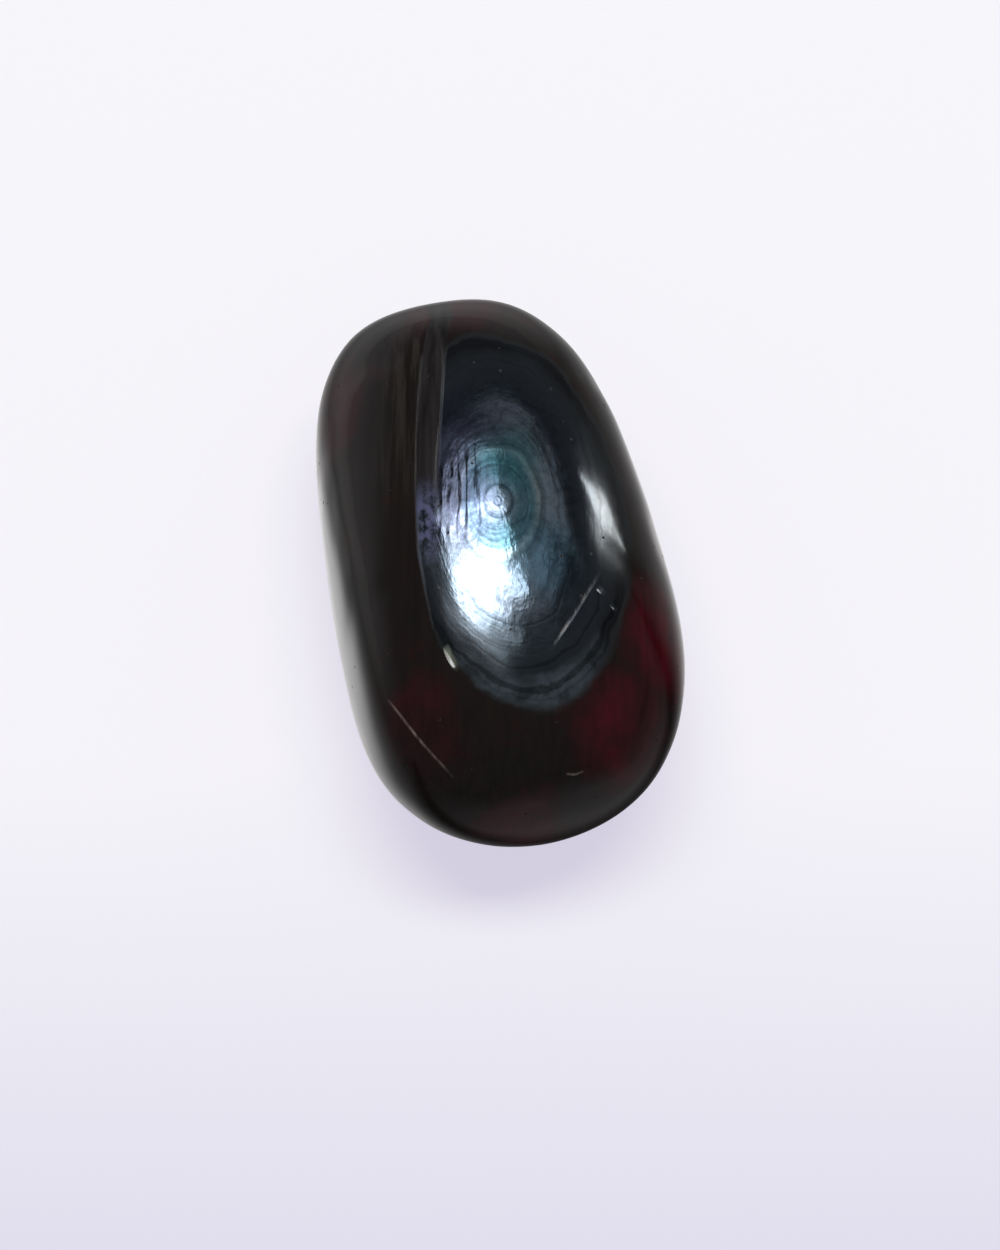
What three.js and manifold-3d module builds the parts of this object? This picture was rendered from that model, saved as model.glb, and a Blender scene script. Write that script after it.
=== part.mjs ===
// Tiger iron, a tumbled and polished stone in one piece: an egg-like oblong pebble that lies on a small flat spot.
// Units are millimetres. +Z is up, +Y runs along the stone to its narrower end, and the origin is the middle of
// the footprint, on the surface that the stone rests on.
import * as THREE from "three";
import { mergeVertices } from "three/addons/utils/BufferGeometryUtils.js";
import Module from "manifold-3d";

const wasm = await Module();
wasm.setup();

// Driving dimensions: the finished stone's own length, width and height.
const length = 28;
const width = 16.5;
const height = 12.8;

// The pebble's form before wear.
const outlineFullness = 0.4; // how far the outline seen from above swells from an ellipse to a rectangle
const sectionFullness = 0.22; // the same for the cross-section
const widthTaper = 0.085; // how much narrower the far end is, as a share of the width
const heightTaper = 0.06; // how much thinner the far end is, as a share of the height
const bow = -0.022 * length; // how far both tips bend to the left of the middle
const belly = 0.46; // share of the height that lies under the widest level

// Faces that tumbling has worn softly flat. Each is pressed in by its depth, measured from the pebble's furthest
// reach along its direction, and melts into its surroundings over its blend.
const wornFaces = [
  { name: "left slope", towards: [-0.6, 0.2, 0.78], depth: 0.45, blend: 2.6 },
  { name: "right slope", towards: [0.8, 0.05, 0.6], depth: 0.4, blend: 2.2 },
  { name: "left flank", towards: [-0.98, 0.05, 0.18], depth: 0.45, blend: 1.6 },
  { name: "right flank", towards: [0.98, 0.1, 0.05], depth: 0.25, blend: 1.8 },
  { name: "near end", towards: [0.04, -0.95, 0.32], depth: 0.35, blend: 2.4 },
  { name: "far end", towards: [0, 0.95, 0.28], depth: 0.35, blend: 2.4 },
  { name: "near left underside", towards: [-0.5, -0.5, -0.7], depth: 0.6, blend: 2.4 },
  { name: "far underside", towards: [0.15, 0.6, -0.78], depth: 0.5, blend: 2.6 },
  { name: "right underside", towards: [0.75, -0.15, -0.65], depth: 0.4, blend: 2.4 },
];
const footWear = 0.45; // how much is worn off the lowest point to leave the flat spot
const footBlend = 0.3;

// Marks in the upper face, where seams opened and grit cut the polish. Each follows a route over the stone, in
// shares of its half-width and half-length, dips to its depth and runs out at its ends. A pit is a short groove.
const grooves = [
  {
    name: "left seam of the iron band",
    route: [[-0.09, 0.81], [-0.16, 0.71], [-0.25, 0.53], [-0.37, 0.24], [-0.45, -0.02], [-0.47, -0.2]],
    radius: 0.3,
    depth: 0.12,
  },
  {
    name: "right seam beside it",
    route: [[-0.05, 0.74], [-0.1, 0.56], [-0.17, 0.4], [-0.235, 0.27], [-0.3, 0.12]],
    radius: 0.24,
    depth: 0.08,
  },
  {
    name: "long scratch",
    route: [[-0.8, -0.5], [-0.67, -0.67], [-0.53, -0.81]],
    radius: 0.2,
    depth: 0.08,
  },
  {
    name: "fine scratch",
    route: [[0.16, -0.49], [0.34, -0.38], [0.53, -0.25]],
    radius: 0.14,
    depth: 0.05,
  },
  {
    name: "chipped dimple",
    route: [[-0.47, -0.4], [-0.44, -0.47], [-0.4, -0.54]],
    radius: 0.55,
    depth: 0.14,
  },
  {
    name: "upper pit",
    route: [[0.47, -0.29], [0.5, -0.31], [0.53, -0.34]],
    radius: 0.28,
    depth: 0.13,
  },
  {
    name: "lower pit",
    route: [[0.54, -0.36], [0.56, -0.38], [0.57, -0.4]],
    radius: 0.24,
    depth: 0.12,
  },
  {
    name: "nick",
    route: [[0.1, -0.875], [0.15, -0.88], [0.2, -0.875]],
    radius: 0.18,
    depth: 0.07,
  },
];
const grooveStep = 0.5; // length of each straight stretch of a groove
const leastSteps = 6;
const grooveSides = 10;
const runOut = 0.2; // how far above the surface a groove's ends lie, as a share of its depth
const runOutPower = 0.6; // under 1, a groove keeps its depth for most of its length

// Grid over the stone: faces along its width, length and height.
const gridAcross = 24;
const gridAlong = 38;
const gridUp = 18;

// A smooth minimum that equals the plain one where the two differ by more than the blend.
function softMinimum(a, b, blend) {
  const overlap = Math.max(blend - Math.abs(a - b), 0) / blend;
  return Math.min(a, b) - (overlap ** 3 * blend) / 6;
}

// A point of the cube from -1 to 1, moved to the unit sphere so that the grid stays even.
function onSphere({ x, y, z }) {
  const [xx, yy, zz] = [x * x, y * y, z * z];
  return new THREE.Vector3(
    x * Math.sqrt(1 - yy / 2 - zz / 2 + (yy * zz) / 3),
    y * Math.sqrt(1 - zz / 2 - xx / 2 + (zz * xx) / 3),
    z * Math.sqrt(1 - xx / 2 - yy / 2 + (xx * yy) / 3),
  );
}

// The pebble's surface in the direction of a point on the unit sphere, with its middle at the origin.
// Its base is a squircle in three dimensions, which stays smoothly curved all over.
function pebblePoint(unit) {
  const [xx, yy, zz] = [unit.x ** 2, unit.y ** 2, unit.z ** 2];
  const swell = outlineFullness * (xx * yy + yy * zz) + sectionFullness * xx * zz;
  const share = Math.sqrt(2 / (1 + Math.sqrt(1 - 4 * swell)));
  const along = unit.y * share;
  const halfUp = height * (unit.z > 0 ? 1 - belly : belly);
  return new THREE.Vector3(
    unit.x * share * (width / 2) * (1 - widthTaper * along) + bow * along ** 2,
    along * (length / 2),
    unit.z * share * halfUp * (1 - heightTaper * along),
  );
}

// Presses the points in along a direction, where they lie further out than the depth under the furthest one.
function wearDown(points, { towards, depth, blend }) {
  const direction = new THREE.Vector3(...towards).normalize();
  const reach = Math.max(...points.map((point) => point.dot(direction)));
  for (const point of points) {
    const out = point.dot(direction);
    const worn = softMinimum(out, reach - depth, blend);
    point.addScaledVector(direction, worn - out);
  }
}

// The whole pebble as a closed mesh, brought to its driving dimensions and set down on its flat spot.
function pebbleGeometry() {
  const cube = new THREE.BoxGeometry(2, 2, 2, gridAcross, gridAlong, gridUp);
  cube.deleteAttribute("normal");
  cube.deleteAttribute("uv");
  const geometry = mergeVertices(cube, 1e-5);
  const places = geometry.attributes.position;
  const corner = new THREE.Vector3();
  const points = Array.from({ length: places.count }, (_, i) =>
    pebblePoint(onSphere(corner.fromBufferAttribute(places, i))),
  );
  for (const face of wornFaces) wearDown(points, face);
  wearDown(points, { towards: [0, 0, -1], depth: footWear, blend: footBlend });
  geometry.setFromPoints(points);
  geometry.computeBoundingBox();
  const { min, max } = geometry.boundingBox;
  geometry.translate(-(min.x + max.x) / 2, -(min.y + max.y) / 2, -min.z);
  geometry.scale(
    width / (max.x - min.x),
    length / (max.y - min.y),
    height / (max.z - min.z),
  );
  return geometry;
}

// The point and the outward normal of the pebble's upper surface, straight below a place in plan.
function upperSurface(pebble, x, y) {
  const above = new THREE.Vector3(x, y, 2 * height);
  const down = new THREE.Vector3(0, 0, -1);
  const [hit] = new THREE.Raycaster(above, down).intersectObject(pebble);
  return { point: hit.point, normal: hit.face.normal };
}

// The round bar that cuts a groove: it dips to the groove's depth in the middle and is clear of the stone at
// both ends.
function grooveCutter(pebble, { route, radius, depth }) {
  const plan = new THREE.CatmullRomCurve3(
    route.map(
      ([across, along]) =>
        new THREE.Vector3((across * width) / 2, (along * length) / 2, 0),
    ),
  );
  const steps = Math.max(leastSteps, Math.round(plan.getLength() / grooveStep));
  const centres = plan.getSpacedPoints(steps).map(({ x, y }, i) => {
    const { point, normal } = upperSurface(pebble, x, y);
    const share = Math.sin((Math.PI * i) / steps) ** runOutPower;
    const dip = depth * ((1 + runOut) * share - runOut);
    return point.addScaledVector(normal, radius - dip);
  });
  const section = new THREE.Shape().absarc(0, 0, radius, 0, 2 * Math.PI);
  return new THREE.ExtrudeGeometry(section, {
    curveSegments: grooveSides / 2,
    steps,
    extrudePath: new THREE.CatmullRomCurve3(centres),
  });
}

// A three.js geometry as a manifold-3d solid.
function asSolid(geometry) {
  const bare = geometry.clone();
  bare.deleteAttribute("normal");
  bare.deleteAttribute("uv");
  const merged = mergeVertices(bare, 1e-4);
  return new wasm.Manifold(
    new wasm.Mesh({
      numProp: 3,
      vertProperties: new Float32Array(merged.attributes.position.array),
      triVerts: new Uint32Array(merged.index.array),
    }),
  );
}

// A manifold-3d solid as a three.js geometry.
function asGeometry(solid) {
  const { vertProperties, triVerts } = solid.getMesh();
  const geometry = new THREE.BufferGeometry();
  geometry.setAttribute("position", new THREE.BufferAttribute(vertProperties, 3));
  geometry.setIndex(new THREE.BufferAttribute(triVerts, 1));
  geometry.computeVertexNormals();
  return geometry;
}

// The pebble with every groove cut into it.
function stoneGeometry() {
  const whole = pebbleGeometry();
  const pebble = new THREE.Mesh(whole);
  return asGeometry(
    grooves.reduce(
      (solid, groove) => solid.subtract(asSolid(grooveCutter(pebble, groove))),
      asSolid(whole),
    ),
  );
}

const polishedStone = new THREE.MeshStandardMaterial({
  name: "polished_tiger_iron",
  color: 0x241416,
  roughness: 0.15,
  metalness: 0.3,
});

const stone = new THREE.Mesh(stoneGeometry(), polishedStone);
stone.name = "stone";

const tigerIron = new THREE.Group();
tigerIron.add(stone);

export default tigerIron;
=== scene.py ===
from functools import partial
from math import cos, pi, radians, sin

import bmesh
import bpy
import numpy as np
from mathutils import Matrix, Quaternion, Vector
from mathutils.bvhtree import BVHTree
from mathutils.kdtree import KDTree


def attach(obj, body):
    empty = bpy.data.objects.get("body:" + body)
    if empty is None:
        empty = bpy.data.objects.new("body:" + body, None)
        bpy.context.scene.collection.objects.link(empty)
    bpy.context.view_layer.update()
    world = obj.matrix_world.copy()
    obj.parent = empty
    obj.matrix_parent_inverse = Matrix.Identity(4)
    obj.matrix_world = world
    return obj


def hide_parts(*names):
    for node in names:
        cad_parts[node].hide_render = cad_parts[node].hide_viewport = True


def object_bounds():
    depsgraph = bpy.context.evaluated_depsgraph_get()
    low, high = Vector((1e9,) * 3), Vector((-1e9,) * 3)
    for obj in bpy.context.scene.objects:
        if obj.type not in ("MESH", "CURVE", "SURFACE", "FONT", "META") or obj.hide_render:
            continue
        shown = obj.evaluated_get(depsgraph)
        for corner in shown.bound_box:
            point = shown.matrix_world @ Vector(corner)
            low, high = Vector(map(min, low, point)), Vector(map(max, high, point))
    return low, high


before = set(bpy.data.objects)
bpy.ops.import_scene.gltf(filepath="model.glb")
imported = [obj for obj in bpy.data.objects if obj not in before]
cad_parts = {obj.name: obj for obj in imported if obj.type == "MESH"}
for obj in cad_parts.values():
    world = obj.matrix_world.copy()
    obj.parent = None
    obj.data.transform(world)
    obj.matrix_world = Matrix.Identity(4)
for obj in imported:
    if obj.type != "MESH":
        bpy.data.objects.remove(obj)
cadLow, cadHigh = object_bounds()
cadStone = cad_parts["stone"]
mm = 0.001
half = (cadHigh - cadLow) / 2
middle = (cadHigh + cadLow) / 2


# Camera

cameraView = dict(
    azimuth=-12,  # leans the stone to the left, as in the photograph
    elevation=70,  # looks down on the stone, which lies on its broad side
    distance=200 * mm,
    lens=119.5,
    panRight=0.28 * mm,
    panUp=-3.08 * mm,  # the stone stands a little above the middle of the picture
)


def addCamera():
    turn, lift = radians(cameraView["azimuth"]), radians(cameraView["elevation"])
    back = Vector((sin(turn) * cos(lift), -cos(turn) * cos(lift), sin(lift)))
    right = Vector((cos(turn), sin(turn), 0))
    up = back.cross(right)
    place = middle + back * cameraView["distance"]
    place += right * cameraView["panRight"] + up * cameraView["panUp"]
    bpy.ops.object.camera_add(location=place, rotation=back.to_track_quat("Z", "Y").to_euler())
    camera = bpy.context.object
    camera.data.lens = cameraView["lens"]
    camera.data.clip_start = 1 * mm
    bpy.context.scene.camera = camera


addCamera()


# Small tools

def deselectAll():
    bpy.ops.object.select_all(action="DESELECT")


def makeActive(thing):
    deselectAll()
    thing.select_set(True)
    bpy.context.view_layer.objects.active = thing


# Adds a modifier with its settings and applies it.
def applyModifier(piece, kind, **settings):
    makeActive(piece)
    modifier = piece.modifiers.new(kind.lower(), kind)
    for name, value in settings.items():
        setattr(modifier, name, value)
    bpy.ops.object.modifier_apply(modifier=modifier.name)


def duplicateOf(thing, name):
    makeActive(thing)
    bpy.ops.object.duplicate()
    copy = bpy.context.object
    copy.name = name
    return copy


# The places of a piece's points, one row each.
def pointsOf(piece):
    places = np.empty(len(piece.data.vertices) * 3)
    piece.data.vertices.foreach_get("co", places)
    return places.reshape(-1, 3)


# The stone's form

stoneForm = dict(
    cageFaces=(20, 34, 16),  # faces of the first cage across, along and up
    hullLevels=2,
    firstSmoothing=6,
    lastSmoothing=2,
    wrapOffset=0.035 * mm,  # makes up for what smoothing takes off
    levels=2,  # brings the faces to about 0.2 mm
    evenLevels=4,  # the even surface that the finest points are laid on
    fineReach=0.42 * mm,  # how far from a mark the faces are made finer
    fineCuts=3,
    waveSize=3.2 * mm,  # the slow waviness that tumbling leaves
    waveHeight=0.03 * mm,
)


# A convex skin over the CAD stone, with its grooves bridged and its facets rounded.
def makeSkin():
    skin = duplicateOf(cadStone, "skin")
    bpy.ops.object.mode_set(mode="EDIT")
    bpy.ops.mesh.select_all(action="SELECT")
    bpy.ops.mesh.remove_doubles(threshold=0.001 * mm)
    bpy.ops.mesh.convex_hull()
    bpy.ops.mesh.select_all(action="SELECT")
    bpy.ops.mesh.tris_convert_to_quads(face_threshold=radians(20), shape_threshold=radians(40))
    bpy.ops.object.mode_set(mode="OBJECT")
    applyModifier(skin, "SUBSURF", levels=stoneForm["hullLevels"], render_levels=stoneForm["hullLevels"])
    return skin


# A block whose edges along each axis are cut into that axis's number of faces.
def makeBlock():
    deselectAll()
    bpy.ops.mesh.primitive_cube_add(size=2, location=(0, 0, 0))
    block = bpy.context.object
    bpy.ops.object.mode_set(mode="EDIT")
    for axis, faces in enumerate(stoneForm["cageFaces"]):
        bpy.ops.mesh.select_all(action="DESELECT")
        bpy.ops.mesh.select_mode(type="EDGE")
        shape = bmesh.from_edit_mesh(block.data)
        for edge in shape.edges:
            run = edge.verts[0].co - edge.verts[1].co
            edge.select_set(abs(run[axis]) > 0.99 * run.length)
        bmesh.update_edit_mesh(block.data)
        bpy.ops.mesh.subdivide(number_cuts=faces - 1)
    bpy.ops.object.mode_set(mode="OBJECT")
    return block


# The smooth pebble: a block rounded to a ball, drawn out to the stone's size and laid on the skin.
def makePebble(skin):
    pebble = makeBlock()
    pebble.name = "polishedStone"
    applyModifier(pebble, "CAST", cast_type="SPHERE", factor=1, size=1, use_radius_as_size=False)
    makeActive(pebble)
    bpy.ops.transform.resize(value=half)
    bpy.ops.transform.translate(value=middle)
    bpy.ops.object.transform_apply(location=True, rotation=True, scale=True)
    for smoothing in (stoneForm["firstSmoothing"], stoneForm["lastSmoothing"]):
        applyModifier(pebble, "SHRINKWRAP", target=skin, offset=stoneForm["wrapOffset"])
        applyModifier(pebble, "SMOOTH", factor=0.5, iterations=smoothing)
    return pebble


# Marks in the upper face. Each follows a route over the stone, in shares of its half-width and half-length.

marks = [
    dict(
        name="leftSeam", kind="seam", halfWidth=0.12 * mm, depth=0.012 * mm,
        route=[(-0.09, 0.81), (-0.16, 0.71), (-0.25, 0.53), (-0.37, 0.24), (-0.45, -0.02), (-0.47, -0.2)],
    ),
    dict(
        name="rightSeam", kind="seam", halfWidth=0.09 * mm, depth=0.01 * mm,
        route=[(-0.05, 0.74), (-0.1, 0.56), (-0.17, 0.4), (-0.235, 0.27), (-0.3, 0.12)],
    ),
    dict(
        name="longScratch", kind="scratch", halfWidth=0.09 * mm, depth=0.03 * mm,
        route=[(-0.8, -0.5), (-0.67, -0.67), (-0.53, -0.81)],
    ),
    dict(
        name="fineScratch", kind="scratch", halfWidth=0.1 * mm, depth=0.02 * mm,
        route=[(0.16, -0.49), (0.34, -0.38), (0.53, -0.25)],
    ),
    dict(
        name="chippedDimple", kind="chip", halfWidth=0.22 * mm, depth=0.05 * mm,
        route=[(-0.425, -0.405), (-0.41, -0.45), (-0.39, -0.49)],
    ),
    dict(
        name="upperPit", kind="pit", halfWidth=0.2 * mm, depth=0.05 * mm,
        route=[(0.485, -0.305), (0.5, -0.315), (0.515, -0.325)],
    ),
    dict(
        name="lowerPit", kind="pit", halfWidth=0.17 * mm, depth=0.04 * mm,
        route=[(0.545, -0.365), (0.555, -0.375), (0.565, -0.385)],
    ),
    dict(
        name="nick", kind="scratch", halfWidth=0.08 * mm, depth=0.03 * mm,
        route=[(0.1, -0.875), (0.15, -0.88), (0.2, -0.875)],
    ),
]
markStep = 0.02 * mm  # between two laid points of a mark
deepestMark = max(mark["depth"] for mark in marks)


# Points on the stone along a smooth curve through a route's corners, a Catmull-Rom spline.
def laidRoute(route, surface):
    corners = [Vector((x * half.x, y * half.y, 0)) for x, y in route]
    corners = [2 * corners[0] - corners[1], *corners, 2 * corners[-1] - corners[-2]]
    points = []
    for a, b, c, d in zip(corners, corners[1:], corners[2:], corners[3:]):
        steps = round((c - b).length / markStep)
        for t in (i / steps for i in range(steps)):
            twice = 2 * b + (c - a) * t
            twice += (2 * a - 5 * b + 4 * c - d) * t**2
            twice += (3 * b - a - 3 * c + d) * t**3
            above = twice / 2 + Vector((middle.x, middle.y, 2 * cadHigh.z))
            points.append(surface.ray_cast(above, Vector((0, 0, -1)))[0])
    return points


def layRoutes(pebble):
    surface = BVHTree.FromObject(pebble, bpy.context.evaluated_depsgraph_get())
    for mark in marks:
        mark["laid"] = laidRoute(mark["route"], surface)


# A tree that finds the nearest laid point, and each of its points' mark and share of the way along it.
def markTree(chosen):
    owners = [(mark, i / len(mark["laid"])) for mark in chosen for i in range(len(mark["laid"]))]
    tree = KDTree(len(owners))
    for i, point in enumerate(point for mark in chosen for point in mark["laid"]):
        tree.insert(point, i)
    tree.balance()
    return tree, owners


# Makes the faces beside the marks finer and lays their new points on an even surface.
def refineBesideMarks(pebble, evenSurface):
    tree, _ = markTree(marks)
    bpy.ops.object.mode_set(mode="EDIT")
    bpy.ops.mesh.select_mode(type="FACE")
    bpy.ops.mesh.select_all(action="DESELECT")
    shape = bmesh.from_edit_mesh(pebble.data)
    for face in shape.faces:
        face.select_set(tree.find(face.calc_center_median())[2] < stoneForm["fineReach"])
    bmesh.update_edit_mesh(pebble.data)
    bpy.ops.mesh.subdivide(number_cuts=stoneForm["fineCuts"])
    bpy.ops.object.mode_set(mode="OBJECT")
    applyModifier(pebble, "SHRINKWRAP", target=evenSurface)


# How deep each kind of mark lies at every point, from 0 to 1. It is kept on the mesh for the material, and
# the deepest of them, as a share of the deepest mark, for the relief.
def writeMarks(pebble):
    places = pointsOf(pebble)
    relief = np.zeros(len(places))
    for kind in ("seam", "scratch", "chip", "pit"):
        chosen = [mark for mark in marks if mark["kind"] == kind]
        tree, owners = markTree(chosen)
        depths = np.zeros(len(places))
        for i, place in enumerate(places):
            _, nearest, distance = tree.find(place)
            mark, share = owners[nearest]
            if distance < mark["halfWidth"]:
                across = (1 - (distance / mark["halfWidth"]) ** 2) ** 1.5
                depths[i] = across * sin(pi * share) ** 0.6
                relief[i] = max(relief[i], depths[i] * mark["depth"] / deepestMark)
        pebble.data.attributes.new(kind, "FLOAT", "POINT").data.foreach_set("value", depths)
    group = pebble.vertex_groups.new(name="relief")
    for i in np.nonzero(relief)[0]:
        group.add([int(i)], relief[i], "REPLACE")


# How far each point lies to the right of the left seam, in millimetres, seen from above.
def writeSeamSide(pebble):
    laid = np.array(marks[0]["laid"])
    order = np.argsort(laid[:, 1])
    places = pointsOf(pebble)
    seam = np.interp(places[:, 1], laid[order, 1], laid[order, 0])
    side = (places[:, 0] - seam) / mm
    pebble.data.attributes.new("seamSide", "FLOAT", "POINT").data.foreach_set("value", side)


def addWaviness(pebble):
    waves = bpy.data.textures.new("tumblingWaves", "CLOUDS")
    waves.noise_scale = stoneForm["waveSize"]
    waves.noise_depth = 1
    applyModifier(pebble, "DISPLACE", texture=waves, strength=stoneForm["waveHeight"], mid_level=0.5)
    applyModifier(pebble, "DISPLACE", vertex_group="relief", strength=-deepestMark, mid_level=0)
    pebble.vertex_groups.clear()


def makeStone():
    skin = makeSkin()
    pebble = makePebble(skin)
    even = duplicateOf(pebble, "evenSurface")
    for piece, levels in ((even, stoneForm["evenLevels"]), (pebble, stoneForm["levels"])):
        applyModifier(piece, "SUBSURF", levels=levels, render_levels=levels)
    layRoutes(pebble)
    makeActive(pebble)
    refineBesideMarks(pebble, even)
    writeMarks(pebble)
    writeSeamSide(pebble)
    addWaviness(pebble)
    for helper in (skin, even):
        bpy.data.objects.remove(helper)
    makeActive(pebble)
    bpy.ops.object.shade_smooth()
    print("stone:", len(pebble.data.polygons), "faces")
    return pebble


stone = makeStone()


# Materials

# Colours are written as sRGB hex values, and sockets take linear ones.
def linear(hexColour):
    parts = [int(hexColour[i:i + 2], 16) / 255 for i in (0, 2, 4)]
    return [c / 12.92 if c <= 0.04045 else ((c + 0.055) / 1.055) ** 2.4 for c in parts] + [1]


# Adds a node with its settings. An input gets a value, or a link where it is given a socket.
# A ramp's stops are pairs of place and colour. It returns the output that is asked for.
# A Mix node's inputs are 0 for the share, 2 and 3 for numbers, 4 and 5 for places, and 6 and 7 for colours.
def addNode(tree, kind, inputs, give=0, stops=(), **settings):
    node = tree.nodes.new("ShaderNode" + kind)
    for name, value in settings.items():
        setattr(node, name, value)
    for name, value in inputs.items():
        if isinstance(value, bpy.types.NodeSocket):
            tree.links.new(value, node.inputs[name])
        else:
            node.inputs[name].default_value = value
    for i, (place, colour) in enumerate(stops):
        elements = node.color_ramp.elements
        element = elements[i] if i < 2 else elements.new(place)
        element.position = place
        element.color = linear(colour) if isinstance(colour, str) else [colour] * 3 + [1]
    return node.outputs[give] if node.outputs else node


# Settings that many nodes share.
smooth = dict(interpolation_type="SMOOTHSTEP")
asDistance = dict(give="Value", operation="DISTANCE")
asDot = dict(give="Value", operation="DOT_PRODUCT")
ofColours = dict(give=2, data_type="RGBA")


def newMaterial(name):
    material = bpy.data.materials.new(name)
    material.use_nodes = True
    material.node_tree.nodes.clear()
    return material


# Polished tiger iron: haematite, jasper and fibrous quartz in bent layers, tumbled to a glassy polish.
tigerIron = dict(
    bendSize=5.0,  # mm between the bends in the layers
    bendReach=0.5,  # mm that a layer wanders
    rippleSize=0.8,
    rippleReach=0.1,
    eyeMiddle=(1.0, 0.3, 12.6),  # mm, the nest of shells that the upper face cuts into rings
    eyeHalf=(5.75, 10.2, 9.0),
    eyeTurn=-3.5,
    eyeCore=(-0.13, 0.023, 0.0),  # where the innermost ring lies, in shares of the shells' half-sizes
    eyeCorePlace=(0.25, 0.53, 12.6),  # mm
    coreRoundness=1.54,
    ringTints=[  # the haematite's colour from the core to the edge of the eye
        (0.0, "66777f"), (0.03, "5f7078"), (0.042, "465962"), (0.058, "73878f"), (0.098, "6a7f88"),
        (0.12, "3a4e58"), (0.15, "5f7a85"), (0.2, "45626c"), (0.3, "4c6a74"), (0.345, "7d8c90"),
        (0.372, "55636b"), (0.41, "727f8b"), (0.56, "6d7985"), (0.6, "5d6973"), (0.82, "6c747b"),
        (0.94, "4a5054"), (1.0, "1f1e1c"),
    ],
    ringLines=14.0,  # how many fine lines lie between the core and the edge
    flankLayers=9.0,  # the same for the wider layers that show on the flanks and the underside
    flankTints=[  # jasper, black ironstone, golden fibres and grey haematite
        (0.0, "1a1312"), (1.0, "2a1210"), (0.33, "1c100e"), (0.38, "561214"), (0.45, "420e11"),
        (0.475, "15110f"), (0.51, "1a1410"), (0.53, "74502a"), (0.555, "2e1d12"), (0.59, "34383e"),
        (0.66, "3c4149"), (0.69, "1d1010"),
    ],
    jasperTints=[(0.0, "17130f"), (1.0, "420b13"), (0.22, "19120f"), (0.34, "210f0f"), (0.6, "2e0d11")],
    stripTints=[(0.36, "0f0e0e"), (0.64, "262323")],
    paleFibreTint="35322d",
    # The film's colour also stands in for the highlight's glow: painted light.
    filmAndGlowTint="70729a",
    dullTint="444f55",
    poreTint="0b0b0b",
    stripWidth=1.15,  # mm between the two seams, where fibrous stone lies
    stripEnds=(-0.8, 0.9),  # mm along the stone, where the strip runs out and where it has its full width
    fibreWidth=0.2,  # mm, coarser than real fibres so that it shows
    fibreLength=6.0,
    fibreLean=12,
    poreSpacing=1.1,  # mm
    grainSize=0.45,
    facetSize=0.7,
    reliefDepth=0.007,  # mm
    streakSpacing=0.42,  # mm between the dark streaks on the left of the eye
    tints=[  # mm: middle and reach of the patches where the haematite's oxide film takes on a colour
        ((-1.6, 4.2, 12.4), 4.2, "72729a"),
        ((1.0, 2.6, 12.6), 2.6, "3f868f"),
        ((2.0, -2.6, 12.6), 2.8, "4a86a0"),
        ((-1.0, 0.6, 12.6), 2.6, "7a7aa0"),
        ((0.4, -8.2, 12.0), 3.6, "5d7078"),
    ],
    redLobes=[  # mm: middle and reach of the places where the jasper is reddest
        ((6.8, -6.6, 9.0), 4.8, 1.0),
        ((3.8, -10.6, 9.4), 4.2, 0.85),
        ((8.0, -0.5, 6.5), 4.6, 0.6),
        ((-5.0, -8.4, 10.0), 4.0, 0.52),
        ((-6.6, 8.2, 8.0), 4.0, 0.6),
        ((0.6, 12.4, 9.0), 4.4, 0.62),
        ((-1.6, -13.4, 7.0), 3.4, 0.7),
    ],
    # Where each thing starts and where it is whole. All but the rings are in mm: "across" counts to the right
    # from the left seam, "aside" to the right from the stone's middle, and "along" along the stone.
    limits=dict(
        streaks=[("across", 3.8, 2.5), ("along", -1.8, 0.2), ("along", 4.4, 2.8)],
        filmAndPaintedGlow=[("across", 1.4, 0.5), ("along", -2.5, 0.5), ("along", 4.4, 2.4)],
        dullEnd=[("ring", 0.83, 0.88), ("along", -5.6, -7.2), ("aside", 4.2, 2.2)],
        paleFibres=[("across", -2.4, -0.9), ("along", 0.5, 5.0)],
        strip=[("along", 0.4, 3.0)],
        insideShell=[("ring", 1.01, 0.93)],
    ),
    markColoursAndPaintedLight=[  # the most that a kind of mark covers, its colour and its roughness
        # The dark seams and pits are partly dirt and partly painted shade, and the pale chip is partly a
        # painted glint.
        ("seam", 1.0, "080707", 0.7),
        ("pit", 1.0, "0d0f10", 0.5),
        ("scratch", 0.7, "8f8077", 0.4),
        ("chip", 1.2, "63675a", 0.14),
    ],
)


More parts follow.
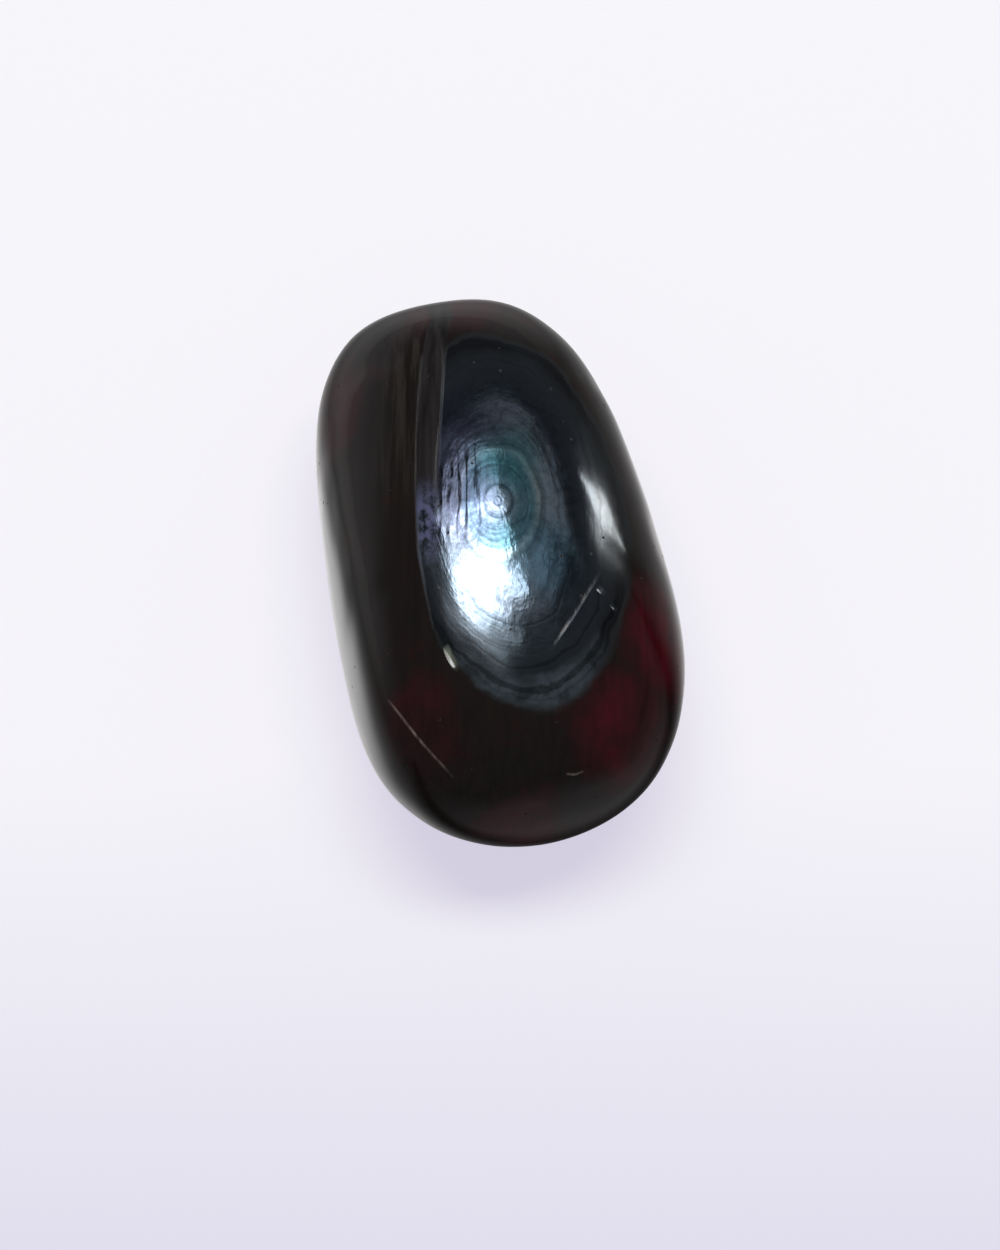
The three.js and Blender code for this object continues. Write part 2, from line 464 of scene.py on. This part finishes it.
def tigerIronMaterial():
    look = tigerIron
    material = newMaterial("polishedTigerIron")
    add = partial(addNode, material.node_tree)

    # Places in millimetres, and the same places bent, so that layers wander.
    place = add("TexCoord", {}, give="Object")
    inMm = add("VectorMath", {0: place, "Scale": 1 / mm}, operation="SCALE")
    bent = inMm
    for size, reach in ((look["bendSize"], look["bendReach"]), (look["rippleSize"], look["rippleReach"])):
        cloud = add("TexNoise", {"Vector": inMm, "Scale": 1 / size, "Detail": 2.0}, give="Color")
        centred = add("VectorMath", {0: cloud, 1: (0.5, 0.5, 0.5)}, operation="SUBTRACT")
        push = add("VectorMath", {0: centred, "Scale": 4 * reach}, operation="SCALE")
        bent = add("VectorMath", {0: bent, 1: push}, operation="ADD")

    # Nested shells: 0 at the core of the eye and 1 at its edge. They bend less near the core.
    fromCore = add("VectorMath", {0: inMm, 1: look["eyeCorePlace"]}, **asDistance)
    bendShare = add(
        "MapRange", {"Value": fromCore, "From Min": 1.0, "From Max": 5.5, "To Min": 0.15, "To Max": 1.0}
    )
    ringPlace = add("Mix", {0: bendShare, 4: inMm, 5: bent}, give=1, data_type="VECTOR")
    shells = add(
        "Mapping",
        {"Vector": ringPlace, "Location": look["eyeMiddle"], "Scale": look["eyeHalf"],
         "Rotation": (0, 0, radians(look["eyeTurn"]))},
        vector_type="TEXTURE",
    )
    outer = add("VectorMath", {0: shells}, give="Value", operation="LENGTH")
    outerSquared = add("Math", {0: outer, 1: 2.0}, operation="POWER")
    towardsCore = add("Math", {0: 1.0, 1: outerSquared}, operation="SUBTRACT", use_clamp=True)
    coreShift = add("VectorMath", {0: look["eyeCore"], "Scale": towardsCore}, operation="SCALE")
    nested = add("VectorMath", {0: shells, 1: coreShift}, operation="SUBTRACT")
    longRing = add("VectorMath", {0: nested}, give="Value", operation="LENGTH")
    rounder = add("VectorMath", {0: nested, 1: (1, look["coreRoundness"], 1)}, operation="MULTIPLY")
    roundRing = add("VectorMath", {0: rounder}, give="Value", operation="LENGTH")
    longShare = add("MapRange", {"Value": longRing, "From Min": 0.0, "From Max": 0.6}, **smooth)
    ring = add("Mix", {0: longShare, 2: roundRing, 3: longRing})

    # Where each thing lies: the product of its limits.
    measures = dict(
        ring=ring,
        across=add("Attribute", {}, give="Fac", attribute_name="seamSide"),
        aside=add("SeparateXYZ", {"Vector": inMm}, give="X"),
        along=add("SeparateXYZ", {"Vector": inMm}, give="Y"),
    )
    seamSide, along = measures["across"], measures["along"]
    within = {}
    for name, limits in look["limits"].items():
        within[name] = 1.0
        for measure, start, whole in limits:
            value = measures[measure]
            limit = add("MapRange", {"Value": value, "From Min": start, "From Max": whole}, **smooth)
            within[name] = add("Math", {0: within[name], 1: limit}, operation="MULTIPLY")

    # Fibres along the stone, which carry the dark streaks on the left of the eye.
    leaned = add("Mapping", {"Vector": inMm, "Rotation": (0, 0, radians(look["fibreLean"]))})
    fibrePlace = add(
        "Mapping",
        {"Vector": leaned,
         "Scale": (1 / look["fibreWidth"], 1 / look["fibreLength"], 0.5 / look["fibreWidth"])},
    )
    fibres = add("TexNoise", {"Vector": fibrePlace, "Scale": 0.55, "Detail": 3.0, "Roughness": 0.6})

    # Haematite: a steel-blue metal, near black where nothing bright is mirrored in it.
    lines = add(
        "TexNoise",
        {"W": add("Math", {0: ring, 1: look["ringLines"]}, operation="MULTIPLY"), "Scale": 1.0,
         "Detail": 2.0, "Roughness": 0.7},
        noise_dimensions="1D",
    )
    steel = add("ValToRGB", {"Fac": ring}, stops=look["ringTints"])
    for spot, reach, hue in look["tints"]:
        away = add("VectorMath", {0: bent, 1: spot}, **asDistance)
        share = add(
            "MapRange", {"Value": away, "From Min": reach, "From Max": 0.2 * reach, "To Max": 0.5}, **smooth
        )
        tinted = add("Mix", {0: 1.0, 6: steel, 7: linear(hue)}, blend_type="COLOR", **ofColours)
        steel = add("Mix", {0: share, 6: steel, 7: tinted}, **ofColours)
    lineShade = add("ValToRGB", {"Fac": lines}, stops=[(0.36, 0.3), (0.62, 1.0), (0.48, 0.9)])
    lineShare = add(
        "MapRange",
        {"Value": along, "From Min": -2.5, "From Max": -6.0, "To Min": 0.3, "To Max": 0.75},
        **smooth,
    )
    steel = add("Mix", {0: lineShare, 6: steel, 7: lineShade}, blend_type="MULTIPLY", **ofColours)
    patches = add("TexNoise", {"Vector": inMm, "Scale": 0.9, "Detail": 2.0})
    streakShare = add("MapRange", {"Value": patches, "From Min": 0.38, "From Max": 0.52, "To Min": 0.25})
    streakShare = add("Math", {0: streakShare, 1: within["streaks"]}, operation="MULTIPLY")
    streakPlace = add("Mapping", {"Vector": leaned, "Scale": (1, 0.14, 1)})
    waves = add(
        "TexWave",
        {"Vector": streakPlace, "Scale": pi / 10 / look["streakSpacing"], "Distortion": 9.0,
         "Detail": 4.0, "Detail Scale": 1.3, "Detail Roughness": 0.7},
        give="Fac",
    )
    streaks = add("ValToRGB", {"Fac": waves}, stops=[(0.04, 0.08), (0.5, 1.0), (0.2, 0.5)])
    steel = add("Mix", {0: streakShare, 6: steel, 7: streaks}, blend_type="MULTIPLY", **ofColours)

    # Its crystals show as a fine grain, fainter towards the edge. A violet film lies beside the left seam;
    # its pale, less metallic colour also paints in the glow of the highlight there.
    grain = add(
        "TexNoise", {"Vector": bent, "Scale": 1 / look["grainSize"], "Detail": 4.0, "Roughness": 0.65}
    )
    grainShade = add("ValToRGB", {"Fac": grain}, stops=[(0.36, 0.45), (0.6, 1.0), (0.48, 0.85)])
    outward = add(
        "MapRange", {"Value": ring, "From Min": 0.6, "From Max": 0.74, "To Min": 1.0, "To Max": 0.3}
    )
    grainShare = add("Math", {0: outward, 1: 0.6}, operation="MULTIPLY")
    steel = add("Mix", {0: grainShare, 6: steel, 7: grainShade}, blend_type="MULTIPLY", **ofColours)
    # Violet film and painted glow of the highlight beside the left seam.
    filmAndPaintedGlow = add(
        "MapRange", {"Value": grain, "From Min": 0.42, "From Max": 0.58, "To Min": 0.15, "To Max": 0.85}
    )
    filmAndPaintedGlow = add("Math", {0: filmAndPaintedGlow, 1: within["filmAndPaintedGlow"]}, operation="MULTIPLY")
    steel = add("Mix", {0: filmAndPaintedGlow, 6: steel, 7: linear(look["filmAndGlowTint"])}, **ofColours)

    # At its near end the outermost shell is dull.
    dull = add("MapRange", {"Value": patches, "From Min": 0.4, "From Max": 0.55, "To Min": 0.35})
    dull = add("Math", {0: dull, 1: within["dullEnd"]}, operation="MULTIPLY")
    dullTint = linear(look["dullTint"])
    for shade in (lineShade, grainShade):
        dullTint = add("Mix", {0: 0.8, 6: dullTint, 7: shade}, blend_type="MULTIPLY", **ofColours)
    steel = add("Mix", {0: dull, 6: steel, 7: dullTint}, **ofColours)
    clouded = add("Math", {0: dull, 1: filmAndPaintedGlow}, operation="MAXIMUM")
    steelMetal = add("MapRange", {"Value": clouded, "To Min": 1.0, "To Max": 0.35})

    # Its lines differ in polish, and its right edge is less polished.
    steelRoughness = add(
        "MapRange", {"Value": lines, "From Min": 0.35, "From Max": 0.6, "To Min": 0.13, "To Max": 0.085}
    )
    edgeRoughness = add("MapRange", {"Value": outward, "From Min": 1.0, "From Max": 0.3, "To Max": 0.06})
    farRight = add("MapRange", {"Value": seamSide, "From Min": 4.5, "From Max": 6.5})
    edgeRoughness = add("Math", {0: edgeRoughness, 1: farRight}, operation="MULTIPLY")
    steelRoughness = add("Math", {0: steelRoughness, 1: edgeRoughness}, operation="ADD")

    # Jasper round it: brown-black, with red lobes that end rather sharply, and finer red clouds.
    red = 0.0
    for lobe, reach, strength in look["redLobes"]:
        away = add("VectorMath", {0: bent, 1: lobe}, **asDistance)
        glow = add(
            "MapRange",
            {"Value": away, "From Min": reach, "From Max": 0.3 * reach, "To Max": strength},
            **smooth,
        )
        red = add("Math", {0: red, 1: glow}, operation="MAXIMUM")
    clouds = add("TexNoise", {"Vector": bent, "Scale": 0.5, "Detail": 5.0, "Roughness": 0.62})
    clouded = add(
        "MapRange", {"Value": clouds, "From Min": 0.3, "From Max": 0.7, "To Min": 0.55, "To Max": 1.25}
    )
    redness = add("Math", {0: red, 1: clouded}, operation="MULTIPLY")
    faintRed = add("MapRange", {"Value": clouds, "From Min": 0.47, "From Max": 0.68, "To Max": 0.42})
    redness = add("Math", {0: redness, 1: faintRed}, operation="MAXIMUM")
    jasper = add("ValToRGB", {"Fac": redness}, stops=look["jasperTints"])
    fibreShade = add("ValToRGB", {"Fac": fibres}, stops=[(0.3, 0.45), (0.7, 1.0), (0.5, 0.8)])
    jasper = add("Mix", {0: 0.75, 6: jasper, 7: fibreShade}, blend_type="MULTIPLY", **ofColours)

    # Paler fibres in it just left of the seams.
    paleShare = add("ValToRGB", {"Fac": fibres}, stops=[(0.44, 0.0), (0.62, 0.45)])
    leftOfSeam = add("MapRange", {"Value": seamSide, "From Min": 0.1, "From Max": -0.1})
    for limit in (leftOfSeam, within["paleFibres"]):
        paleShare = add("Math", {0: paleShare, 1: limit}, operation="MULTIPLY")
    jasper = add("Mix", {0: paleShare, 6: jasper, 7: linear(look["paleFibreTint"])}, **ofColours)

    # Brownish grey fibrous quartz between the two seams.
    thinEnd, fullEnd = look["stripEnds"]
    strip = add(
        "MapRange", {"Value": along, "From Min": thinEnd, "From Max": fullEnd, "To Max": look["stripWidth"]}
    )
    pastStrip = add("Math", {0: seamSide, 1: strip}, operation="SUBTRACT")
    stripShade = add("ValToRGB", {"Fac": fibres}, stops=look["stripTints"])
    stripLeft = add("MapRange", {"Value": seamSide, "From Min": -0.05, "From Max": 0.05})
    stripRight = add("MapRange", {"Value": pastStrip, "From Min": 0.1, "From Max": -0.1})
    stripShare = add("Math", {0: stripLeft, 1: stripRight}, operation="MULTIPLY")
    stripShare = add("Math", {0: stripShare, 1: within["strip"]}, operation="MULTIPLY")
    jasper = add("Mix", {0: stripShare, 6: jasper, 7: stripShade}, **ofColours)

    # Layers on the flanks and the underside, cut by the same nest of shells.
    layers = add(
        "TexNoise",
        {"W": add("Math", {0: ring, 1: look["flankLayers"]}, operation="MULTIPLY"), "Scale": 1.0,
         "Detail": 3.0, "Roughness": 0.6},
        noise_dimensions="1D",
    )
    nearEnd = add("MapRange", {"Value": along, "From Min": -8.0, "From Max": -12.5, "To Max": 3.0})
    height = add("Math", {0: add("SeparateXYZ", {"Vector": bent}, give="Z"), 1: nearEnd}, operation="ADD")
    lowSide = add("MapRange", {"Value": height, "From Min": 8.5, "From Max": 4.5}, **smooth)
    layerTint = add("ValToRGB", {"Fac": layers}, stops=look["flankTints"])
    ground = add("Mix", {0: lowSide, 6: jasper, 7: layerTint}, **ofColours)
    greyLayer = [(0.575, 0.0), (0.69, 0.0), (0.6, 1.0), (0.66, 1.0)]
    layerMetal = add("ValToRGB", {"Fac": layers}, stops=greyLayer)
    groundMetal = add("Math", {0: layerMetal, 1: lowSide}, operation="MULTIPLY")

    # Where the eye lies: inside its last shell and to the right of the seams.
    rightOfStrip = add("MapRange", {"Value": pastStrip, "From Min": -0.1, "From Max": 0.1})
    throughStrip = add("Math", {0: 1.0, 1: within["strip"]}, operation="SUBTRACT")
    throughStrip = add("Math", {0: throughStrip, 1: stripLeft}, operation="MULTIPLY")
    rightOfSeam = add("Math", {0: rightOfStrip, 1: throughStrip}, operation="MAXIMUM")
    eye = add("Math", {0: within["insideShell"], 1: rightOfSeam}, operation="MULTIPLY")
    colour = add("Mix", {0: eye, 6: ground, 7: steel}, **ofColours)
    eyeMetal = add("Math", {0: eye, 1: steelMetal}, operation="MULTIPLY")
    metal = add("Math", {0: eyeMetal, 1: groundMetal}, operation="MAXIMUM")
    roughness = add("Mix", {0: metal, 2: 0.1, 3: steelRoughness})

    # Dark colour in the seams and pits, partly dirt and partly painted shade; pale bruised stone in the
    # scratches; and in the chip yellowish quartz, partly a painted glint.
    for kind, strength, hue, finish in look["markColoursAndPaintedLight"]:
        markDepthShare = add("Attribute", {}, give="Fac", attribute_name=kind)
        patchy = add(
            "MapRange",
            {"Value": fibres, "From Min": 0.4, "From Max": 0.58, "To Min": 0.15, "To Max": strength},
        )
        share = add("Math", {0: markDepthShare, 1: patchy}, operation="MULTIPLY", use_clamp=True)
        bare = add("Math", {0: 1.0, 1: share}, operation="SUBTRACT")
        colour = add("Mix", {0: share, 6: colour, 7: linear(hue)}, **ofColours)
        roughness = add("Mix", {0: share, 2: roughness, 3: finish})
        metal = add("Math", {0: metal, 1: bare}, operation="MULTIPLY")

    # Tiny open pores, which the tumbling didn't close.
    cells = add("TexVoronoi", {"Vector": inMm, "Scale": 1 / look["poreSpacing"]}, give="Distance")
    pore = add("MapRange", {"Value": cells, "From Min": 0.085, "From Max": 0.05}, **smooth)
    colour = add("Mix", {0: pore, 6: colour, 7: linear(look["poreTint"])}, **ofColours)
    roughness = add("Mix", {0: pore, 2: roughness, 3: 0.6})
    closed = add("Math", {0: 1.0, 1: pore}, operation="SUBTRACT")
    metal = add("Math", {0: metal, 1: closed}, operation="MULTIPLY")

    # The haematite's polish is slightly uneven, with facets, grain and lines.
    facetPlace = add("Mapping", {"Vector": leaned, "Scale": (1, 0.5, 1)})
    facets = add(
        "TexNoise", {"Vector": facetPlace, "Scale": 1 / look["facetSize"], "Detail": 3.0, "Roughness": 0.6}
    )
    uneven = add("Math", {0: grain, 1: 0.3, 2: lines}, operation="MULTIPLY_ADD")
    uneven = add("Math", {0: facets, 1: 2.5, 2: uneven}, operation="MULTIPLY_ADD")
    relief = add("Math", {0: uneven, 1: eye}, operation="MULTIPLY")
    relief = add("Math", {0: relief, 1: outward}, operation="MULTIPLY")
    bump = add("Bump", {"Height": relief, "Strength": 1.0, "Distance": look["reliefDepth"] * mm})
    shader = add(
        "BsdfPrincipled",
        {"Base Color": colour, "Metallic": metal, "Roughness": roughness, "IOR": 1.54, "Normal": bump},
    )
    add("OutputMaterial", {"Surface": shader})
    return material


stone.data.materials.clear()
stone.data.materials.append(tigerIronMaterial())
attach(stone, "root")
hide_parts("stone")


# Stage: a pale floor, its colour darkened towards the viewer as a painted falloff of light and, for the
# stone's polish only, a painted pool of light and shadow; and soft light from above and from the right.

stage = dict(
    floorSize=3.0,
    paperColour="9aa18a",  # the light from above, which the stone's shadow keeps off
    glowColour="d0cadd",  # the light that comes through the floor from below, as on a light table
    # Painted falloff of light: this tint darkens the floor's colours towards the viewer.
    paintedFalloffTint="e7e6f1",  # the floor dims towards the viewer
    paintedFalloffEnds=(-8 * mm, -36 * mm),  # where it starts and ends to dim, up the picture from the stone
    # The floor as the stone's polish mirrors it is a painted pool of light: its brightness by the distance
    # from its middle, a share of the reach.
    paintedPool=[(0.2, 1.0), (0.25, 0.7), (0.29, 0.44), (0.34, 0.3), (0.42, 0.2), (0.6, 0.11), (1.0, 0.07)],
    poolReach=60 * mm,
    poolMiddle=(-2 * mm, -2 * mm, 0),
    poolFar=0.07,
    poolGlow=0.4,
    # A painted shadow in it towards the viewer: the share of the painted pool that is left, from the start of
    # the painted shadow to its end.
    paintedShadow=[(0.0, 1.0), (0.07, 0.86), (0.2, 0.72), (0.26, 0.62), (0.33, 0.3), (0.41, 0.08), (0.46, 0.035),
         (0.52, 0.12), (0.6, 0.45), (1.0, 1.0)],
    paintedShadowTurn=30,  # degrees to the right of straight towards the viewer
    paintedShadowEnds=(-2 * mm, -30 * mm),
    backdrop=0.36,  # brightness of the backdrop behind the stone, which shows in its far rim
    backdropTurn=35,  # degrees from straight behind, to the left
    backdropFrom=(10 * mm, 45 * mm),  # how far from the stone it starts, and how far from it it is whole
    skyColour="f2f1f8",
    skyStrength=0.3,
    skySeen=0.93,
    skyOverhead=0.095,
    skyHorizon=0.085,
)


# A level direction that points away from the viewer, turned by some degrees to the left.
def awayFromViewer(degrees):
    turn = radians(cameraView["azimuth"] + degrees)
    return (-sin(turn), cos(turn), 0)


# How much of the backdrop lies in a direction.
def backdropShare(add, direction):
    behind = add("VectorMath", {0: direction, 1: awayFromViewer(stage["backdropTurn"])}, **asDot)
    return add("MapRange", {"Value": behind, "From Min": 0.3, "From Max": 0.85}, **smooth)


def addFloor():
    deselectAll()
    bpy.ops.mesh.primitive_plane_add(size=stage["floorSize"])
    floor = bpy.context.object
    floor.name = "floor"
    material = newMaterial("paleFloor")
    add = partial(addNode, material.node_tree)
    place = add("TexCoord", {}, give="Object")

    # As it is seen. Its colours darken towards the viewer: a painted falloff of light.
    along = add("VectorMath", {0: place, 1: awayFromViewer(0)}, **asDot)
    start, stop = stage["paintedFalloffEnds"]
    near = add("MapRange", {"Value": along, "From Min": start, "From Max": stop})
    tints = []
    for colour in (stage["paperColour"], stage["glowColour"]):
        paintedDimTint = [a * b for a, b in zip(linear(colour), linear(stage["paintedFalloffTint"]))]
        tints.append(add("Mix", {0: near, 6: linear(colour), 7: paintedDimTint}, **ofColours))
    paper = add("BsdfDiffuse", {"Color": tints[0]})
    through = add("Emission", {"Color": tints[1]})
    seen = add("AddShader", {0: paper, 1: through})

    # As the stone's polish mirrors it: a painted pool of light with a painted shadow, seen only in
    # reflections.
    away = add("VectorMath", {0: place, 1: stage["poolMiddle"]}, **asDistance)
    share = add("Math", {0: away, 1: stage["poolReach"]}, operation="DIVIDE")
    paintedPool = add("ValToRGB", {"Fac": share}, stops=stage["paintedPool"])
    # The backdrop's brightness is painted on the far floor, where it is brighter than the pool.
    bearing = add("VectorMath", {0: place}, give="Vector", operation="NORMALIZE")
    start, stop = stage["backdropFrom"]
    reached = add("MapRange", {"Value": away, "From Min": start, "From Max": stop}, **smooth)
    behind = add("Math", {0: backdropShare(add, bearing), 1: reached}, operation="MULTIPLY")
    far = add("Mix", {0: behind, 2: stage["poolFar"], 3: stage["backdrop"]})
    paintedPool = add("Math", {0: paintedPool, 1: far}, operation="MAXIMUM")
    # The painted shadow takes its share of both.
    along = add("VectorMath", {0: place, 1: awayFromViewer(stage["paintedShadowTurn"])}, **asDot)
    start, stop = stage["paintedShadowEnds"]
    share = add("MapRange", {"Value": along, "From Min": start, "From Max": stop})
    left = add("ValToRGB", {"Fac": share}, stops=stage["paintedShadow"])
    paintedPool = add("Math", {0: paintedPool, 1: left}, operation="MULTIPLY")
    # Besides being lit, the painted pool glows a little.
    lit = add("BsdfDiffuse", {"Color": paintedPool})
    glow = add("Emission", {"Color": paintedPool, "Strength": stage["poolGlow"]})
    mirrored = add("AddShader", {0: lit, 1: glow})

    gloss = add("LightPath", {}, give="Is Glossy Ray")
    shader = add("MixShader", {0: gloss, 1: seen, 2: mirrored})
    add("OutputMaterial", {"Surface": shader})
    floor.data.materials.append(material)


def addSky():
    world = bpy.data.worlds.new("studio")
    bpy.context.scene.world = world
    world.use_nodes = True
    world.node_tree.nodes.clear()
    add = partial(addNode, world.node_tree)
    direction = add("TexCoord", {}, give="Generated")
    height = add("SeparateXYZ", {"Vector": direction}, give="Z")
    horizon = add("Mix", {0: backdropShare(add, direction), 2: stage["skyHorizon"], 3: stage["backdrop"]})
    mirrored = add(
        "MapRange",
        {"Value": height, "From Min": 0.0, "From Max": 0.4,
         "To Min": horizon, "To Max": stage["skyOverhead"]},
        **smooth,
    )
    seen = add("LightPath", {}, give="Is Camera Ray")
    gloss = add("LightPath", {}, give="Is Glossy Ray")
    shown = add("Mix", {0: seen, 2: stage["skyStrength"], 3: stage["skySeen"]})
    strength = add("Mix", {0: gloss, 2: shown, 3: mirrored})
    sky = add("Background", {"Color": linear(stage["skyColour"]), "Strength": strength})
    add("OutputWorld", {"Surface": sky})


# The diffuser hangs over the stone with a lamp behind it, so it is brightest in one corner. Its slanted left
# edge is cut off sharply, and it fades to the right and away from the viewer. Places on it are slopes: how
# far they lie aside from the stone for each metre up. Its three ramps are pairs of such a place and the share
# of the brightness there.
diffuser = dict(
    height=0.4,
    size=2.6,
    brightness=16.0,
    colour="fdfdff",
    edgePoint=(-0.16, 0.05),
    edgeTurn=37.7,
    leftEdge=[(-0.22, 0.0), (-0.09, 0.07), (-0.03, 0.6), (0.0, 1.0)],
    rightTurn=20,
    towardsRight=[(-0.16, 1.0), (-0.08, 0.7), (0.0, 0.35), (0.04, 0.12), (0.09, 0.035), (0.29, 0.03),
                  (0.36, 0.013), (0.44, 0.006), (0.6, 0.0)],
    foldSize=0.14,
    foldReach=0.11,  # how far the folds in the cloth shift the places of that fade
    along=[(-0.12, 0.008), (-0.05, 0.035), (0.0, 0.08), (0.05, 0.15), (0.1, 0.25), (0.15, 0.45), (0.22, 0.7),
           (0.3, 1.0), (0.35, 1.0), (0.4, 0.5), (0.45, 0.24), (0.5, 0.18), (0.55, 0.16), (0.6, 0.13),
           (0.66, 0.08), (0.7, 0.038), (0.75, 0.01), (0.8, 0.005), (0.88, 0.004), (1.0, 0.0)],
    haze=(0.6, 0.56),  # the middle of a faint glow beside the bright part
    hazeReach=(0.7, 0.1),  # how far from there it starts, and how far from there it is whole
    hazeFrom=(0.34, 0.5),  # it lies on the far side of this
    hazeBrightness=0.33,
)


def addDiffuser():
    deselectAll()
    bpy.ops.mesh.primitive_plane_add(
        size=diffuser["size"] * diffuser["height"], location=(0, 0, cadHigh.z + diffuser["height"])
    )
    panel = bpy.context.object
    panel.name = "diffuser"
    material = newMaterial("litDiffuser")
    add = partial(addNode, material.node_tree)
    place = add("TexCoord", {}, give="Object")
    slope = add("VectorMath", {0: place, "Scale": 1 / diffuser["height"]}, operation="SCALE")
    fromEdge = add("VectorMath", {0: slope, 1: (*diffuser["edgePoint"], 0)}, operation="SUBTRACT")
    turn = radians(diffuser["edgeTurn"])
    pastEdge = add("VectorMath", {0: fromEdge, 1: (cos(turn), sin(turn), 0)}, **asDot)
    turn = radians(diffuser["rightTurn"])
    right = add("VectorMath", {0: slope, 1: (cos(turn), -sin(turn), 0)}, **asDot)
    folds = add("TexNoise", {"Vector": slope, "Scale": 1 / diffuser["foldSize"], "Detail": 2.0})
    reach = diffuser["foldReach"]
    shift = add(
        "MapRange", {"Value": folds, "From Min": 0.3, "From Max": 0.7, "To Min": -reach, "To Max": reach}
    )
    right = add("Math", {0: right, 1: shift}, operation="ADD")
    along = add("SeparateXYZ", {"Vector": slope}, give="Y")
    strength = diffuser["brightness"]
    for value, ramp in (
        (pastEdge, diffuser["leftEdge"]), (right, diffuser["towardsRight"]), (along, diffuser["along"]),
    ):
        first, last = ramp[0][0], ramp[-1][0]
        share = add("MapRange", {"Value": value, "From Min": first, "From Max": last})
        stops = [((at - first) / (last - first), bright) for at, bright in ramp]
        fade = add("ValToRGB", {"Fac": share}, stops=stops)
        strength = add("Math", {0: strength, 1: fade}, operation="MULTIPLY")
    aside = add("VectorMath", {0: slope, 1: (*diffuser["haze"], 0)}, **asDistance)
    start, whole = diffuser["hazeReach"]
    haze = add(
        "MapRange",
        {"Value": aside, "From Min": start, "From Max": whole, "To Max": diffuser["hazeBrightness"]},
        **smooth,
    )
    start, whole = diffuser["hazeFrom"]
    farSide = add("MapRange", {"Value": along, "From Min": start, "From Max": whole}, **smooth)
    strength = add("Math", {0: haze, 1: farSide, 2: strength}, operation="MULTIPLY_ADD")
    glow = add("Emission", {"Color": linear(diffuser["colour"]), "Strength": strength})
    cloth = add("AddShader", {0: glow, 1: add("BsdfTransparent", {})})
    add("OutputMaterial", {"Surface": cloth})
    panel.data.materials.append(material)
    panel.visible_camera = False
    panel.visible_diffuse = False


# A small strip of light close to the right of the stone gives the second highlight. Its way starts at the top
# of the stone.
lowStrip = dict(
    way=(0.93, 0.312, 0.06), distance=0.035, size=(0.0056, 0.0135), tilt=-12, radiance=5.4, colour="fff7ee",
)


def addLowStrip():
    way = Vector(lowStrip["way"])
    top = Vector((0, 0, cadHigh.z))
    bpy.ops.object.light_add(type="AREA", location=top + way * lowStrip["distance"])
    light = bpy.context.object
    light.name = "lowStrip"
    turn = way.to_track_quat("Z", "Y") @ Quaternion((0, 0, 1), radians(lowStrip["tilt"]))
    light.rotation_euler = turn.to_euler()
    light.data.shape = "RECTANGLE"
    light.data.size, light.data.size_y = lowStrip["size"]
    light.data.energy = lowStrip["radiance"] * pi * light.data.size * light.data.size_y
    light.data.color = linear(lowStrip["colour"])[:3]
    light.visible_camera = False
    light.visible_diffuse = False


# A wide soft light above and a little behind the stone, which its polish doesn't show, lays the shadow
# towards the viewer.
backLight = dict(way=(0.07, 0.26, 1), distance=0.5, size=(0.52, 0.15), power=1.85)


def addBackLight():
    way = Vector(backLight["way"])
    bpy.ops.object.light_add(type="AREA", location=way.normalized() * backLight["distance"])
    light = bpy.context.object
    light.name = "backLight"
    light.rotation_euler = way.to_track_quat("Z", "Y").to_euler()
    light.data.shape = "ELLIPSE"
    light.data.size, light.data.size_y = backLight["size"]
    light.data.energy = backLight["power"]
    light.visible_camera = False
    light.visible_glossy = False


addFloor()
addSky()
addDiffuser()
addLowStrip()
addBackLight()
bpy.context.scene.view_settings.view_transform = "Standard"
print("stage: floor, sky, diffuser, low strip and back light")
